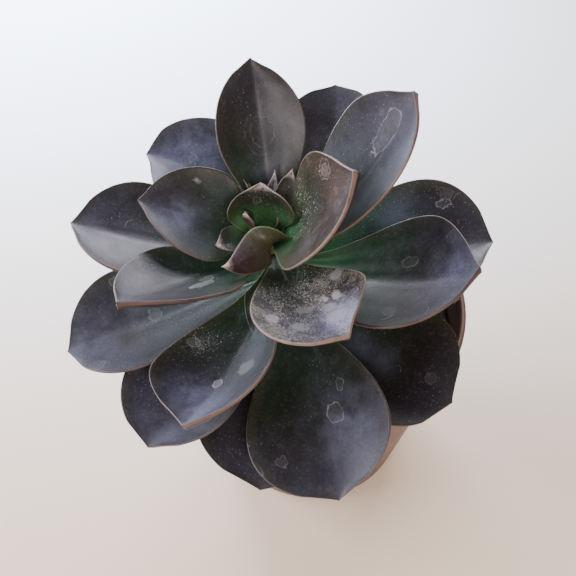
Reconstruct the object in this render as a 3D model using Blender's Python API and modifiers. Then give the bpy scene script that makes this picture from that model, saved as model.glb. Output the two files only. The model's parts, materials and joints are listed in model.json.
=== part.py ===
"""Potted echeveria: a rosette of dark fleshy leaves on a short leaning stem, in a plastic nursery pot.

Metres, +Z up. The origin is the middle of the pot's underside. The viewer of the photograph
stands on the -Y side, so "front" is -Y, "left" is -X, and an angle of 0 degrees points right.
Every leaf is one loft: a centreline that leaves the stem and bends, a rounded outline that is
widest past its middle, and a channelled, fleshy section. The same numbers place and shape it.
"""

import math
from collections import namedtuple

import bmesh
import bpy
from mathutils import Vector
from mathutils import noise

MM = 0.001
GAP = 0.3 * MM
SMOOTH_ANGLE = 40

# Pot: an 8.5 cm round nursery pot
POT_HEIGHT = 75 * MM
RIM_RADIUS = 42.5 * MM
BASE_RADIUS = 33 * MM
LIP_HEIGHT = 9 * MM
LIP_STEP = 1.6 * MM
LIP_TAPER = 0.5 * MM
POT_WALL = 1.4 * MM
POT_FLOOR = 2.0 * MM
FOOT_CHAMFER = 1.5 * MM
RIM_EDGE = 0.4 * MM
POT_SIDES = 64
DRAIN_RADIUS = 1.8 * MM
DRAIN_CIRCLE = 24 * MM
DRAIN_COUNT = 8
DRAIN_SIDES = 12

# Soil: fills the pot to a little under its lip
SOIL_TOP = 66 * MM
SOIL_LUMP = 1.2 * MM
LUMP_SPREAD = 9 * MM
SOIL_SHOULDER = 3 * MM
SOIL_RINGS = 7
SOIL_SIDES = 40

# Stem: upright in the soil, then leaning left as it climbs towards the light
STEM_FOOT_X = -5 * MM
STEM_BOTTOM = 46 * MM
STEM_TOP = 103.4 * MM
STEM_RADIUS = 3.8 * MM
LEAN_HEIGHT = 40 * MM
LEAN_LEFT = 9.8 * MM
LEAN_POWER = 1.3
STEM_SIDES = 12
STEM_RINGS = 14

# Heart: a low dome on the stem's top that carries the youngest leaves
HEART_RADIUS = 3.8 * MM
HEART_RISE = 3.2 * MM
HEART_REACH = 110 * MM

# Leaf: what all blades share. Lengths first, then the powers that ease each change along or
# across the blade.
LEAF_THICK = 2.6 * MM
YOUNG_THICK = 1.6 * MM
MARGIN_THICK = 0.85 * MM
TIP_HALF_WIDTH = 0.5 * MM
LEAF_START = 3.2 * MM
YOUNG_START = 0.8 * MM
CURL_POWER = 1.5
BEND_POWER = 3.0
APEX_POWER = 2.2
CHANNEL_POWER = 1.7
FLESH_POWER = 1.6
STATION_POWER = 1.5
ROLL_REACH = 0.4
CHANNEL_DRAW = 0.25
BASE_THINNING = 0.42
END_THINNING = 0.25
LEAF_ROWS = 13
LEAF_COLUMNS = 8
YOUNG_ROWS = 7
YOUNG_COLUMNS = 6
CENTRELINE_STEPS = 60

# One blade of the rosette. height: of its base on the stem, in mm. turn: direction seen from
# above, in degrees. rise: slope at the base. curl: how much the slope changes to the tip.
# bend: how far the tip swings sideways. roll: turn about its own length. length, width: in mm.
# cup: depth of the channel as a part of the half width. widest: where along the length.
# apex: roundness of the tip, smaller is rounder. base: width at the stem as a part of the
# width. taper: how late the blade widens.
Leaf = namedtuple(
    "Leaf",
    "name height turn rise curl bend roll length width cup widest apex base taper",
)

ROSETTE = [
    Leaf("leaf_outer_back", 88, 69, 21, -5, 21, -2, 59, 32, 0.24, 0.61, 0.56, 0.15, 2.0),
    Leaf("leaf_outer_front", 79.7, -97, 1, -13, -3, 2, 57, 40, 0.22, 0.69, 0.54, 0.15, 2.0),
    Leaf("leaf_outer_front_right", 83.8, -47, 3, -4, 12, 9, 55, 35, 0.22, 0.72, 0.54, 0.15, 2.0),
    Leaf("leaf_outer_back_right", 80.5, 39, 9, -8, 4, 3, 42, 30, 0.24, 0.68, 0.58, 0.15, 2.0),
    Leaf("leaf_outer_back_left", 82, 125, 21, -16, 56, -5, 59, 38, 0.26, 0.64, 0.55, 0.15, 2.0),
    Leaf("leaf_outer_front_left", 84.6, -127, 3, -10, 12, 5, 59, 33, 0.25, 0.71, 0.60, 0.15, 2.0),
    Leaf("leaf_outer_right", 86, 3, 19, -11, -11, 2, 55, 40, 0.29, 0.69, 0.63, 0.15, 2.0),
    Leaf("leaf_outer_left", 87.4, -154, 7, -17, -4, 5, 60, 35, 0.24, 0.71, 0.63, 0.15, 2.0),
    Leaf("leaf_broad_front", 89.9, -79, -3, -9, 4, 19, 63, 37, 0.23, 0.75, 0.63, 0.15, 3.2),
    Leaf("leaf_middle_left", 90, 182, 20, -1, -4, 3, 55, 34, 0.26, 0.70, 0.65, 0.15, 2.0),
    Leaf("leaf_middle_front", 93.1, -107, 6, 11, -14, 23, 57, 33, 0.35, 0.76, 0.66, 0.14, 2.6),
    Leaf("leaf_middle_right", 91.7, -33, 20, 24, 20, 4, 57, 36, 0.23, 0.68, 0.69, 0.16, 2.0),
    Leaf("leaf_middle_back_right", 94.5, 6, 49, 21, 31, -5, 57, 34, 0.27, 0.60, 0.70, 0.15, 2.0),
    Leaf("leaf_inner_front_left", 96.2, -139, 20, 14, 10, 12, 50, 27, 0.24, 0.56, 0.73, 0.15, 2.8),
    Leaf("leaf_upright_back", 93, 104, 45, 12, -8, 14, 51, 26, 0.26, 0.66, 0.70, 0.15, 2.8),
    Leaf("leaf_inner_left", 98, 175, 31, -12, 7, -14, 36, 27, 0.28, 0.52, 0.72, 0.15, 2.4),
    Leaf("leaf_short_front", 98.8, -73, 14, 15, 32, 1, 43, 30, 0.29, 0.71, 0.64, 0.15, 2.6),
    Leaf("leaf_twisted_right", 100, -34, 49, 26, 24, 28, 41, 31, 0.33, 0.53, 0.64, 0.15, 2.2),
]

# The youngest leaves, fused to the heart
HEART = [
    Leaf("young_back", 103, 109, 72, -4, -9, -25, 14, 19, 0.44, 0.53, 0.63, 0.35, 1.6),
    Leaf("young_front", 107.3, 235, 1, 13, -40, 140, 18.2, 10.9, 0.26, 0.20, 0.80, 0.75, 1.2),
    Leaf("young_left", 102.5, 215, 27, -13, -12, -7, 15, 9, 0.32, 0.64, 0.58, 0.35, 1.6),
    Leaf("young_far_back", 101, 82, 63, -10, -4, -2, 17.5, 5, 0.35, 0.50, 0.90, 0.40, 1.6),
    Leaf("young_far_right", 101, 51, 62, -9, 15, 22, 19, 5, 0.35, 0.49, 0.89, 0.40, 1.6),
    Leaf("bud_left", 103, 190, 76, -6, 0, 0, 9, 5, 0.45, 0.50, 0.70, 0.60, 1.5),
    Leaf("bud_right", 103, 20, 72, -6, 0, 0, 7, 4, 0.45, 0.45, 0.80, 0.60, 1.5),
]
# Sideways step from the stem to a young leaf's base: to the right and to the back, in mm
FOOT_SHIFT = {"young_front": (4.2, -2.6), "bud_left": (-2.2, 0.0), "bud_right": (0.8, 0.5)}

COLOURS = {
    "pot": (0.42, 0.13, 0.05, 0.55),
    "soil": (0.03, 0.02, 0.015, 0.95),
    "stem": (0.18, 0.16, 0.07, 0.7),
    "leaf": (0.055, 0.045, 0.055, 0.45),
    "heart": (0.09, 0.11, 0.05, 0.45),
}


def clear_scene():
    for obj in list(bpy.data.objects):
        bpy.data.objects.remove(obj, do_unlink=True)
    for collection in list(bpy.data.collections):
        bpy.data.collections.remove(collection)


def new_collection(name):
    collection = bpy.data.collections.new(name)
    bpy.context.scene.collection.children.link(collection)
    return collection


def make_material(name):
    red, green, blue, roughness = COLOURS[name]
    material = bpy.data.materials.new(name)
    material.use_nodes = True
    shader = material.node_tree.nodes["Principled BSDF"]
    shader.inputs["Base Color"].default_value = (red, green, blue, 1.0)
    shader.inputs["Roughness"].default_value = roughness
    shader.inputs["Metallic"].default_value = 0.0
    return material


def add_object(name, mesh, collection, material=None):
    obj = bpy.data.objects.new(name, mesh)
    collection.objects.link(obj)
    if material:
        mesh.materials.append(material)
    mesh.shade_smooth()
    mesh.set_sharp_from_angle(angle=math.radians(SMOOTH_ANGLE))
    return obj


def as_cutter(obj):
    obj.hide_render = True
    obj.display_type = "WIRE"
    return obj


def move_to(obj, collection):
    for owner in list(obj.users_collection):
        owner.objects.unlink(obj)
    collection.objects.link(obj)


def cut_away(obj, cutter):
    cut = obj.modifiers.new("cut_" + cutter.name, "BOOLEAN")
    cut.operation = "DIFFERENCE"
    cut.solver = "EXACT"
    cut.object = cutter


def loft(name, rings):
    """A closed body through rings of points that all run the same way round, with flat ends."""
    work = bmesh.new()
    rows = [[work.verts.new(point) for point in ring] for ring in rings]
    count = len(rings[0])
    for low, high in zip(rows, rows[1:]):
        for i in range(count):
            j = (i + 1) % count
            work.faces.new((low[i], low[j], high[j], high[i]))
    work.faces.new(list(reversed(rows[0])))
    work.faces.new(rows[-1])
    bmesh.ops.triangulate(work, faces=work.faces[:])
    bmesh.ops.recalc_face_normals(work, faces=work.faces[:])
    mesh = bpy.data.meshes.new(name)
    work.to_mesh(mesh)
    work.free()
    return mesh


def make_pot(parts, cutters):
    wall_foot = POT_FLOOR
    lip_foot = POT_HEIGHT - LIP_HEIGHT
    neck = RIM_RADIUS - LIP_TAPER - LIP_STEP
    profile = [
        (0.0, POT_FLOOR),
        (BASE_RADIUS - POT_WALL, wall_foot),
        (neck - POT_WALL, lip_foot - LIP_STEP),
        (RIM_RADIUS - POT_WALL - LIP_TAPER, lip_foot + LIP_STEP),
        (RIM_RADIUS - POT_WALL, POT_HEIGHT - RIM_EDGE),
        (RIM_RADIUS - POT_WALL + RIM_EDGE, POT_HEIGHT),
        (RIM_RADIUS - RIM_EDGE, POT_HEIGHT),
        (RIM_RADIUS, POT_HEIGHT - RIM_EDGE),
        (RIM_RADIUS - LIP_TAPER, lip_foot),
        (neck, lip_foot),
        (BASE_RADIUS, FOOT_CHAMFER),
        (BASE_RADIUS - FOOT_CHAMFER, 0.0),
        (0.0, 0.0),
    ]
    mesh = bpy.data.meshes.new("pot")
    points = [(radius, 0.0, height) for radius, height in profile]
    mesh.from_pydata(points, [(i, i + 1) for i in range(len(points) - 1)], [])
    pot = add_object("pot", mesh, parts, make_material("pot"))
    screw = pot.modifiers.new("turn", "SCREW")
    screw.axis = "Z"
    screw.angle = 2 * math.pi
    screw.steps = POT_SIDES
    screw.render_steps = POT_SIDES
    screw.use_merge_vertices = True
    screw.merge_threshold = 0.00001
    screw.use_smooth_shade = True
    for i in range(DRAIN_COUNT):
        angle = 2 * math.pi * (i + 0.5) / DRAIN_COUNT
        bpy.ops.mesh.primitive_cylinder_add(
            vertices=DRAIN_SIDES, radius=DRAIN_RADIUS, depth=4 * POT_FLOOR
        )
        hole = bpy.context.object
        hole.name = f"drain_hole_{i + 1}"
        hole.location = (DRAIN_CIRCLE * math.cos(angle), DRAIN_CIRCLE * math.sin(angle), 0.0)
        move_to(hole, cutters)
        cut_away(pot, as_cutter(hole))


def pot_inside(height):
    """Inner radius of the pot's plain wall below the lip."""
    neck = RIM_RADIUS - LIP_TAPER - LIP_STEP - POT_WALL
    floor = BASE_RADIUS - POT_WALL
    lip_foot = POT_HEIGHT - LIP_HEIGHT - LIP_STEP
    share = min(1.0, (height - POT_FLOOR) / (lip_foot - POT_FLOOR))
    return floor + (neck - floor) * share


def stem_point(height):
    climb = max(0.0, (height - SOIL_TOP) / LEAN_HEIGHT)
    return Vector((STEM_FOOT_X - LEAN_LEFT * climb ** LEAN_POWER, 0.0, height))


def stem_mesh(name, spare, bottom, top):
    """A tube round the stem's line, spare wider than the stem."""
    rings = []
    for i in range(STEM_RINGS):
        height = bottom + (top - bottom) * i / (STEM_RINGS - 1)
        centre = stem_point(height)
        radius = STEM_RADIUS + spare
        rings.append([
            centre + Vector((radius * math.cos(a), radius * math.sin(a), 0.0))
            for a in (2 * math.pi * k / STEM_SIDES for k in range(STEM_SIDES))
        ])
    return loft(name, rings)


def make_stem(parts, cutters):
    """The stem, with one cutter that keeps the leaves off it and one that seats the heart on it."""
    body = stem_mesh("stem", 0.0, STEM_BOTTOM, STEM_TOP)
    add_object("stem", body, parts, make_material("stem"))
    sleeve = stem_mesh("stem_sleeve", GAP, STEM_BOTTOM - GAP, HEART_REACH)
    seat = stem_mesh("stem_seat", GAP, STEM_BOTTOM - GAP, STEM_TOP + GAP)
    return as_cutter(add_object("stem_sleeve", sleeve, cutters)), as_cutter(
        add_object("stem_seat", seat, cutters)
    )


def ring_at(radius, height, sides):
    """A level ring of points; a height of None follows the lumps of the soil's top."""
    ring = []
    for k in range(sides):
        angle = 2 * math.pi * k / sides
        x = radius * math.cos(angle)
        y = radius * math.sin(angle)
        ring.append((x, y, soil_height(x, y) if height is None else height))
    return ring


def soil_height(x, y):
    return SOIL_TOP + SOIL_LUMP * noise.noise(Vector((x, y, 0.0)) / LUMP_SPREAD)


def make_soil(parts, sleeve):
    shoulder = SOIL_TOP - SOIL_SHOULDER
    rings = [
        ring_at(pot_inside(height) - GAP, height, SOIL_SIDES)
        for height in (POT_FLOOR + GAP, SOIL_TOP / 2, shoulder)
    ]
    outer = pot_inside(shoulder) - GAP
    for i in range(SOIL_RINGS):
        rings.append(ring_at(outer * (1 - i / SOIL_RINGS), None, SOIL_SIDES))
    soil = add_object("soil", loft("soil", rings), parts, make_material("soil"))
    cut_away(soil, sleeve)


def leaf_width(leaf, along):
    """Half width at a place along the blade, 0 at the stem and 1 at the tip."""
    half = leaf.width * MM / 2
    if along < leaf.widest:
        grow = math.sin(along / leaf.widest * math.pi / 2) ** leaf.taper
        share = leaf.base + (1 - leaf.base) * grow
    else:
        past = (along - leaf.widest) / (1 - leaf.widest)
        share = max(0.0, 1 - past ** APEX_POWER) ** leaf.apex
    return max(half * share, TIP_HALF_WIDTH)


def leaf_axes(leaf, along):
    """Directions at a place along the blade: its length, its left side and its upper face."""
    slope = math.radians(leaf.rise + leaf.curl * along ** CURL_POWER)
    turn = math.radians(leaf.turn + leaf.bend * along ** BEND_POWER)
    forward = Vector((math.cos(slope) * math.cos(turn), math.cos(slope) * math.sin(turn),
                      math.sin(slope)))
    level = Vector((-math.sin(turn), math.cos(turn), 0.0))
    upper = forward.cross(level)
    eased = min(1.0, along / ROLL_REACH)
    roll = math.radians(leaf.roll) * eased * eased * (3 - 2 * eased)
    side = level * math.cos(roll) + upper * math.sin(roll)
    return forward, side, forward.cross(side)


def leaf_rings(leaf, foot, start, thick, rows, columns):
    """Closed sections of the blade, from just off the stem's middle to the tip."""
    length = leaf.length * MM
    first = start / length
    stations = [1 - (1 - first) * (1 - i / rows) ** STATION_POWER for i in range(rows + 1)]
    across = [2 * j / columns - 1 for j in range(columns + 1)]
    places = [foot]
    for i in range(CENTRELINE_STEPS):
        forward, _, _ = leaf_axes(leaf, (i + 0.5) / CENTRELINE_STEPS)
        places.append(places[-1] + forward * (length / CENTRELINE_STEPS))
    rings = []
    for along in stations:
        exact = along * CENTRELINE_STEPS
        lower = min(int(exact), CENTRELINE_STEPS - 1)
        centre = places[lower].lerp(places[lower + 1], exact - lower)
        _, side, upper = leaf_axes(leaf, along)
        half = leaf_width(leaf, along)
        body = thick * (1 - BASE_THINNING * (1 - along) ** 4 - END_THINNING * along ** 3)
        top = []
        bottom = []
        for v in across:
            lateral = half * v * (1 - CHANNEL_DRAW * leaf.cup * abs(v))
            lift = half * leaf.cup * abs(v) ** CHANNEL_POWER
            deep = MARGIN_THICK + (body - MARGIN_THICK) * (1 - abs(v) ** FLESH_POWER)
            top.append(centre + side * lateral + upper * lift)
            bottom.append(centre + side * lateral + upper * (lift - deep))
        rings.append(top + bottom[::-1])
    return rings


def make_leaf(leaf, parts, sleeve, material):
    foot = stem_point(leaf.height * MM)
    rings = leaf_rings(leaf, foot, LEAF_START, LEAF_THICK, LEAF_ROWS, LEAF_COLUMNS)
    cut_away(add_object(leaf.name, loft(leaf.name, rings), parts, material), sleeve)


def make_heart(parts, seat):
    """A dome and the young leaves, joined into one body and cut to sit on the stem."""
    bpy.ops.mesh.primitive_uv_sphere_add(segments=20, ring_count=12, radius=HEART_RADIUS)
    heart = bpy.context.object
    heart.name = "heart"
    heart.data.name = "heart"
    middle = stem_point(STEM_TOP)
    for vertex in heart.data.vertices:
        vertex.co.z *= HEART_RISE / HEART_RADIUS
        vertex.co += middle
    move_to(heart, parts)
    heart.data.materials.append(make_material("heart"))
    blades = new_collection("young_leaves")
    for leaf in HEART:
        right, back = FOOT_SHIFT.get(leaf.name, (0.0, 0.0))
        foot = stem_point(leaf.height * MM) + Vector((right * MM, back * MM, 0.0))
        rings = leaf_rings(leaf, foot, YOUNG_START, YOUNG_THICK, YOUNG_ROWS, YOUNG_COLUMNS)
        add_object(leaf.name, loft(leaf.name, rings), blades)
    join = heart.modifiers.new("join", "BOOLEAN")
    join.operation = "UNION"
    join.solver = "EXACT"
    join.operand_type = "COLLECTION"
    join.collection = blades
    graph = bpy.context.evaluated_depsgraph_get()
    joined = bpy.data.meshes.new_from_object(heart.evaluated_get(graph))
    heart.modifiers.clear()
    heart.data = joined
    for blade in list(blades.objects):
        bpy.data.objects.remove(blade, do_unlink=True)
    bpy.data.collections.remove(blades)
    joined.shade_smooth()
    joined.set_sharp_from_angle(angle=math.radians(SMOOTH_ANGLE))
    cut_away(heart, seat)


def main():
    clear_scene()
    parts = new_collection("potted_echeveria")
    cutters = new_collection("cutters")
    make_pot(parts, cutters)
    sleeve, seat = make_stem(parts, cutters)
    make_soil(parts, sleeve)
    skin = make_material("leaf")
    for leaf in ROSETTE:
        make_leaf(leaf, parts, sleeve, skin)
    make_heart(parts, seat)


main()
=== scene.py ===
"""Looks of the potted echeveria: fine leaves, young heart, scarred stem, crumbly soil and moulded pot."""

import json
import math
from collections import namedtuple

import bmesh
import bpy
import numpy as np
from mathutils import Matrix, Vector, noise

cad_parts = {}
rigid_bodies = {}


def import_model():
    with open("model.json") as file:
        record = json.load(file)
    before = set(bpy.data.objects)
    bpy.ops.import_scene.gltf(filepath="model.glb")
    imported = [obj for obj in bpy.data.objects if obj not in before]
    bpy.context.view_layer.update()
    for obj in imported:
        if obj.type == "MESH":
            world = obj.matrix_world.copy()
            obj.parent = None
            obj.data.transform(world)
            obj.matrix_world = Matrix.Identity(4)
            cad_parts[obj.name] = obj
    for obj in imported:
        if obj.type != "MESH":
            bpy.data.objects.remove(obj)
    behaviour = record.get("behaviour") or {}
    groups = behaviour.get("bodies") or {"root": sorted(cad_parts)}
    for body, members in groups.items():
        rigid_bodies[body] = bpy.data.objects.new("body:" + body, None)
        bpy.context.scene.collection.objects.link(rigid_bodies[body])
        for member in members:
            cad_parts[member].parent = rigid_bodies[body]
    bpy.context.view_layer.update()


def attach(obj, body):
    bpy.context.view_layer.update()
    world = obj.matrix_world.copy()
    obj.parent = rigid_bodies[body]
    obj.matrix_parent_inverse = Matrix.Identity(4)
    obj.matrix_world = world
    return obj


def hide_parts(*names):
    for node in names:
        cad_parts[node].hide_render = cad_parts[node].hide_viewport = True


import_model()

MM = 0.001
GAP = 0.3 * MM
BODY = "root"

# Camera: the photograph looks steeply down on the plant from its front
LENS = 43.75
SENSOR = 36.0
EYE = (-8.467 * MM, -115.5 * MM, 240.25 * MM)
LOOK_DOWN = 54.3

# Sizes that the solids have too
POT_HEIGHT = 75 * MM
RIM_RADIUS = 42.5 * MM
BASE_RADIUS = 33 * MM
LIP_HEIGHT = 9 * MM
LIP_STEP = 1.6 * MM
LIP_TAPER = 0.5 * MM
POT_WALL = 1.4 * MM
POT_FLOOR = 2.0 * MM
FOOT_CHAMFER = 1.5 * MM
DRAIN_RADIUS = 1.8 * MM
DRAIN_CIRCLE = 24 * MM
DRAIN_COUNT = 8
SOIL_TOP = 66 * MM
SOIL_LUMP = 1.2 * MM
LUMP_SPREAD = 9 * MM
STEM_FOOT_X = -5 * MM
STEM_BOTTOM = 46 * MM
STEM_TOP = 103.4 * MM
STEM_RADIUS = 3.8 * MM
SLEEVE_RADIUS = 4.1 * MM
LEAN_HEIGHT = 40 * MM
LEAN_LEFT = 9.8 * MM
LEAN_POWER = 1.3
HEART_RADIUS = 3.8 * MM
HEART_RISE = 3.2 * MM
LEAF_THICK = 2.6 * MM
YOUNG_THICK = 1.6 * MM
LEAF_START = 3.2 * MM
YOUNG_START = 0.8 * MM
MARGIN_THICK = 0.85 * MM
TIP_HALF_WIDTH = 0.5 * MM

# Finer form that only the eye needs
POINT_LENGTH = 0.7 * MM
POINT_DRAW = 2.4 * MM
POINT_ROWS = 6
CREASE_DEPTH = 0.30 * MM
KEEL_DEPTH = 0.30 * MM
FURROW_DEPTH = 0.36 * MM
RIPPLE = 0.16 * MM
FOLD_SHARE = 0.05
LEAF_GRID = (66, 36)
YOUNG_GRID = (40, 24)
POT_SIDES = 144

# height, length and width in mm, angles in degrees, the rest shares of 1
Leaf = namedtuple(
    "Leaf",
    "name height turn rise curl bend roll length width cup widest apex base taper",
)
ROSETTE = [
    Leaf("leaf_outer_back", 88, 69, 21, -5, 21, -2, 59, 32, 0.24, 0.61, 0.56, 0.15, 2.0),
    Leaf("leaf_outer_front", 79.7, -97, 1, -13, -3, 2, 57, 40, 0.22, 0.69, 0.54, 0.15, 2.0),
    Leaf("leaf_outer_front_right", 83.8, -47, 3, -4, 12, 9, 55, 35, 0.22, 0.72, 0.54, 0.15, 2.0),
    Leaf("leaf_outer_back_right", 80.5, 39, 9, -8, 4, 3, 42, 30, 0.24, 0.68, 0.58, 0.15, 2.0),
    Leaf("leaf_outer_back_left", 82, 125, 21, -16, 56, -5, 59, 38, 0.26, 0.64, 0.55, 0.15, 2.0),
    Leaf("leaf_outer_front_left", 84.6, -127, 3, -10, 12, 5, 59, 33, 0.25, 0.71, 0.60, 0.15, 2.0),
    Leaf("leaf_outer_right", 86, 3, 19, -11, -11, 2, 55, 40, 0.29, 0.69, 0.63, 0.15, 2.0),
    Leaf("leaf_outer_left", 87.4, -154, 7, -17, -4, 5, 60, 35, 0.24, 0.71, 0.63, 0.15, 2.0),
    Leaf("leaf_broad_front", 89.9, -79, -3, -9, 4, 19, 63, 37, 0.23, 0.75, 0.63, 0.15, 3.2),
    Leaf("leaf_middle_left", 90, 182, 20, -1, -4, 3, 55, 34, 0.26, 0.70, 0.65, 0.15, 2.0),
    Leaf("leaf_middle_front", 93.1, -107, 6, 11, -14, 23, 57, 33, 0.35, 0.76, 0.66, 0.14, 2.6),
    Leaf("leaf_middle_right", 91.7, -33, 20, 24, 20, 4, 57, 36, 0.23, 0.68, 0.69, 0.16, 2.0),
    Leaf("leaf_middle_back_right", 94.5, 6, 49, 21, 31, -5, 57, 34, 0.27, 0.60, 0.70, 0.15, 2.0),
    Leaf("leaf_inner_front_left", 96.2, -139, 20, 14, 10, 12, 50, 27, 0.24, 0.56, 0.73, 0.15, 2.8),
    Leaf("leaf_upright_back", 93, 104, 45, 12, -8, 14, 51, 26, 0.26, 0.66, 0.70, 0.15, 2.8),
    Leaf("leaf_inner_left", 98, 175, 31, -12, 7, -14, 36, 27, 0.28, 0.52, 0.72, 0.15, 2.4),
    Leaf("leaf_short_front", 98.8, -73, 14, 15, 32, 1, 43, 30, 0.29, 0.71, 0.64, 0.15, 2.6),
    Leaf("leaf_twisted_right", 100, -34, 49, 26, 24, 28, 41, 31, 0.33, 0.53, 0.64, 0.15, 2.2),
]
HEART = [
    Leaf("young_back", 103, 109, 72, -4, -9, -25, 14, 19, 0.44, 0.53, 0.63, 0.35, 1.6),
    Leaf("young_front", 107.3, 235, 1, 13, -40, 140, 18.2, 10.9, 0.26, 0.20, 0.80, 0.75, 1.2),
    Leaf("young_left", 102.5, 215, 27, -13, -12, -7, 15, 9, 0.32, 0.64, 0.58, 0.35, 1.6),
    Leaf("young_far_back", 101, 82, 63, -10, -4, -2, 17.5, 4.2, 0.35, 0.50, 0.90, 0.40, 1.6),
    Leaf("young_far_right", 101, 51, 62, -9, 15, 22, 19, 5.6, 0.35, 0.62, 0.55, 0.40, 1.6),
    Leaf("bud_left", 103, 190, 76, -6, 0, 0, 9, 5, 0.45, 0.50, 0.70, 0.60, 1.5),
    Leaf("bud_right", 103, 20, 72, -6, 0, 0, 7, 4, 0.45, 0.45, 0.80, 0.60, 1.5),
]
FOOT_SHIFT = {"young_front": (4.2, -2.6), "bud_left": (-2.2, 0.0), "bud_right": (0.8, 0.5)}

# Colouring of each leaf. green: chlorophyll at its base. The second column: lavender wax with
# painted sheen in it, set per leaf to how brightly the leaf mirrors the window. crust: dried
# lime. brown: sun-browned skin. fold: depth of its furrows. edge: paleness of its margin.
Skin = namedtuple("Skin", "green bloom crust brown fold edge")
SKINS = {
    "leaf_outer_back": Skin(0.20, 0.25, 0.10, 0.30, 0.3, 0.1),
    "leaf_outer_front": Skin(0.20, 0.30, 0.10, 0.05, 0.4, 0.1),
    "leaf_outer_front_right": Skin(0.40, 0.00, 0.10, 0.00, 1.0, 0.0),
    "leaf_outer_back_right": Skin(0.40, 0.20, 0.10, 0.20, 0.3, 0.1),
    "leaf_outer_back_left": Skin(0.20, 1.10, 0.10, 0.10, 0.3, 0.2),
    "leaf_outer_front_left": Skin(0.20, 0.60, 0.15, 0.00, 0.4, 0.2),
    "leaf_outer_right": Skin(1.00, 0.12, 0.20, 0.05, 0.5, 0.2),
    "leaf_outer_left": Skin(0.60, 0.60, 0.25, 0.05, 0.15, 0.1),
    "leaf_broad_front": Skin(0.65, 0.35, 0.25, 0.05, 0.9, 0.2),
    "leaf_middle_left": Skin(0.50, 0.35, 0.20, 0.05, 0.2, 0.2),
    "leaf_middle_front": Skin(0.50, 0.12, 0.30, 0.05, 0.4, 0.4),
    "leaf_middle_right": Skin(1.10, 0.30, 0.25, 0.05, 0.5, 0.1),
    "leaf_middle_back_right": Skin(0.45, 0.45, 0.25, 0.25, 0.6, 0.6),
    "leaf_inner_front_left": Skin(0.95, 0.10, 0.35, 0.05, 0.3, 0.2),
    "leaf_upright_back": Skin(0.60, 0.20, 0.30, 0.40, 0.6, 0.2),
    "leaf_inner_left": Skin(0.75, 0.25, 0.25, 0.30, 0.2, 0.3),
    "leaf_short_front": Skin(0.35, 0.20, 1.05, 0.75, 0.3, 1.0),
    "leaf_twisted_right": Skin(0.45, 0.10, 0.32, 1.00, 0.3, 0.8),
    "young_back": Skin(0.45, 0.00, 0.05, 0.45, 0.0, 0.5),
    "young_front": Skin(0.30, 0.10, 0.25, 0.20, 0.0, 0.6),
    "young_left": Skin(1.50, 0.30, 0.15, 0.00, 0.0, 0.3),
    "young_far_back": Skin(0.20, 0.50, 0.30, 0.50, 0.0, 0.6),
    "young_far_right": Skin(0.20, 0.20, 0.10, 0.60, 0.0, 0.4),
    "bud_left": Skin(1.40, 0.10, 0.05, 0.05, 0.0, 0.3),
    "bud_right": Skin(0.60, 0.20, 0.10, 0.30, 0.0, 0.4),
}
# Where one of those layers is thicker or thinner on a leaf: place from its midrib to its left,
# place along it and reach, in mm, then how much more. The wax entries are painted light: a rise
# is a painted sheen where the leaf mirrors a bright window, a fall is painted shade.
PATCHES = {
    "leaf_upright_back": [
        ("brown", 6, 32, 10, 0.3), ("bloom", -6, 34, 7, 0.9), ("bloom", -1, 23, 5, 1.4),
        ("green", 9, 25, 5, 0.8),
    ],
    "leaf_middle_back_right": [("bloom", -6, 27, 11, -0.45), ("bloom", 2, 48, 6, 0.3)],
    "leaf_outer_right": [("green", 9, 30, 9, 0.5), ("bloom", 9, 32, 6, 1.2), ("bloom", -9, 50, 9, -0.2)],
    "leaf_middle_right": [("bloom", 3, 53, 7, 1.5), ("green", 7, 16, 9, 0.4), ("bloom", -9, 36, 9, -0.3)],
    "leaf_outer_front_right": [("bloom", -2, 28, 4, 1.8), ("bloom", -1, 36, 4, 1.0)],
    "leaf_broad_front": [
        ("bloom", 9, 47, 7, 2.2), ("bloom", -9, 38, 11, -0.3), ("green", 0, 20, 12, -0.3),
    ],
    "leaf_middle_front": [("bloom", -3, 52, 7, 2.6), ("crust", -9, 33, 4.5, 0.5)],
    "leaf_inner_left": [("bloom", 2, 26, 5, 2.6), ("brown", -6, 24, 8, 0.2)],
    "young_back": [("brown", 0, 12, 5, 0.1), ("green", 6, 5, 3, 0.6)],
    "leaf_short_front": [
        ("bloom", 4, 38, 6, 3.6), ("bloom", -6, 34, 5, 0.9), ("bloom", 0, 24, 6, 0.2), ("crust", -5, 8, 11, -0.9), ("crust", 1, 27, 8, 0.2),
        ("brown", -4, 8, 10, -0.7),
    ],
    "leaf_twisted_right": [
        ("crust", 6, 12, 8, 0.6), ("bloom", -8, 22, 5, 0.5), ("brown", 6, 22, 8, -0.3),
        ("green", 0, 8, 10, 0.5), ("bloom", -5, 30, 6, 0.5),
    ],
}
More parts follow.
